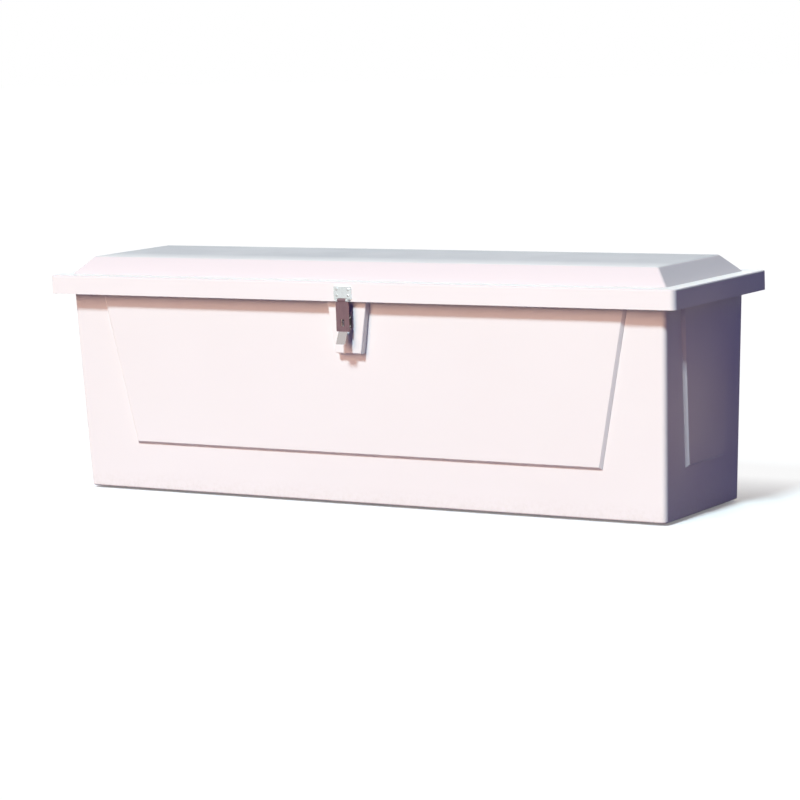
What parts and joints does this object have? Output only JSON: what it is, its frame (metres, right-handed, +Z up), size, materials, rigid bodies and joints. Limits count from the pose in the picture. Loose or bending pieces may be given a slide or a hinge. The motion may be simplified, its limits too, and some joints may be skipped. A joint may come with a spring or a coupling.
{
  "type": "dock box",
  "caption": "Long white fibreglass dock box with tapered panelled walls, a bevelled overhanging lid on a piano hinge with gas struts, and a hasp and staple for a padlock.",
  "frame": {"origin": "on the dock, under the middle of the box, on the underside of the centre runner", "axes": "+X along the box's length, to the right of someone facing the hasp; the hasp is on the -Y side and the hinge on +Y; +Z up"},
  "size_m": [1.854, 0.521, 0.619],
  "materials": {
    "gelcoat": "glossy moulded gelcoat, slightly weathered",
    "plywood": "resin-sealed plywood",
    "gasket_rubber": "soft matt seal",
    "runner_plastic": "sawn polyethylene strip",
    "stainless": "satin",
    "hasp_steel": "worn satin",
    "strap_steel": "tarnished, with a polished tab",
    "strut_paint": "black satin paint",
    "strut_seal": "moulded",
    "socket_nylon": "moulded nylon",
    "rod_chrome": "polished"
  },
  "bodies": {
    "tub": {"tub": "gelcoat", "rim_gasket": "gasket_rubber", "runner_left": "runner_plastic", "runner_centre": "runner_plastic", "runner_right": "runner_plastic", "runner_screws": "stainless", "hinge_tub_leaf": "stainless", "hinge_pin": "stainless", "hinge_tub_rivets": "stainless", "staple": "hasp_steel", "staple_screws": "stainless", "staple_backing_plate": "stainless", "staple_nuts": "stainless", "strut_block_left": "plywood", "strut_block_right": "plywood", "strut_tub_bracket_left": "stainless", "strut_tub_bracket_right": "stainless", "strut_tub_stud_left": "stainless", "strut_tub_stud_right": "stainless", "tub_bracket_screws": "stainless"},
    "lid": {"lid": "gelcoat", "lid_core": "plywood", "hinge_lid_leaf": "stainless", "hinge_lid_rivets": "stainless", "hasp_plate": "hasp_steel", "hasp_rivets": "stainless", "hasp_pin": "stainless", "strut_lid_bracket_left": "stainless", "strut_lid_bracket_right": "stainless", "strut_lid_stud_left": "stainless", "strut_lid_stud_right": "stainless", "lid_bracket_screws": "stainless"},
    "hasp": {"hasp_strap": "strap_steel"},
    "cylinder_left": {"strut_cylinder_left": "strut_paint", "strut_gland_left": "strut_seal", "strut_cylinder_socket_left": "socket_nylon"},
    "cylinder_right": {"strut_cylinder_right": "strut_paint", "strut_gland_right": "strut_seal", "strut_cylinder_socket_right": "socket_nylon"},
    "rod_left": {"strut_rod_left": "rod_chrome", "strut_piston_left": "strut_seal", "strut_rod_socket_left": "socket_nylon"},
    "rod_right": {"strut_rod_right": "rod_chrome", "strut_piston_right": "strut_seal", "strut_rod_socket_right": "socket_nylon"}
  },
  "joints": [
    {"name": "lid_hinge", "type": "hinge", "parent": "tub", "child": "lid", "pos_m": [0, 0.243, 0.5222], "axis": [-1, 0, 0], "range_deg": [0, 80]},
    {"name": "hasp_hinge", "type": "hinge", "parent": "lid", "child": "hasp", "pos_m": [0, -0.2545, 0.53], "axis": [-1, 0, 0], "range_deg": [-12, 150]},
    {"name": "strut_cylinder_turn_left", "type": "hinge", "parent": "tub", "child": "cylinder_left", "pos_m": [-0.843, 0.1309, 0.26562], "axis": [-1, 0, 0], "range_deg": [0, 40]},
    {"name": "strut_cylinder_turn_right", "type": "hinge", "parent": "tub", "child": "cylinder_right", "pos_m": [0.843, 0.1309, 0.26562], "axis": [-1, 0, 0], "range_deg": [0, 40]},
    {"name": "strut_rod_turn_left", "type": "hinge", "parent": "lid", "child": "rod_left", "pos_m": [-0.843, -0.03222, 0.57371], "axis": [-1, 0, 0], "range_deg": [-40, 0]},
    {"name": "strut_rod_turn_right", "type": "hinge", "parent": "lid", "child": "rod_right", "pos_m": [0.843, -0.03222, 0.57371], "axis": [-1, 0, 0], "range_deg": [-40, 0]}
  ],
  "couplings": [
    {"joint": "strut_cylinder_turn_left", "follows": "lid_hinge", "ratio": 0.5},
    {"joint": "strut_cylinder_turn_right", "follows": "lid_hinge", "ratio": 0.5},
    {"joint": "strut_rod_turn_left", "follows": "lid_hinge", "ratio": -0.5},
    {"joint": "strut_rod_turn_right", "follows": "lid_hinge", "ratio": -0.5}
  ]
}
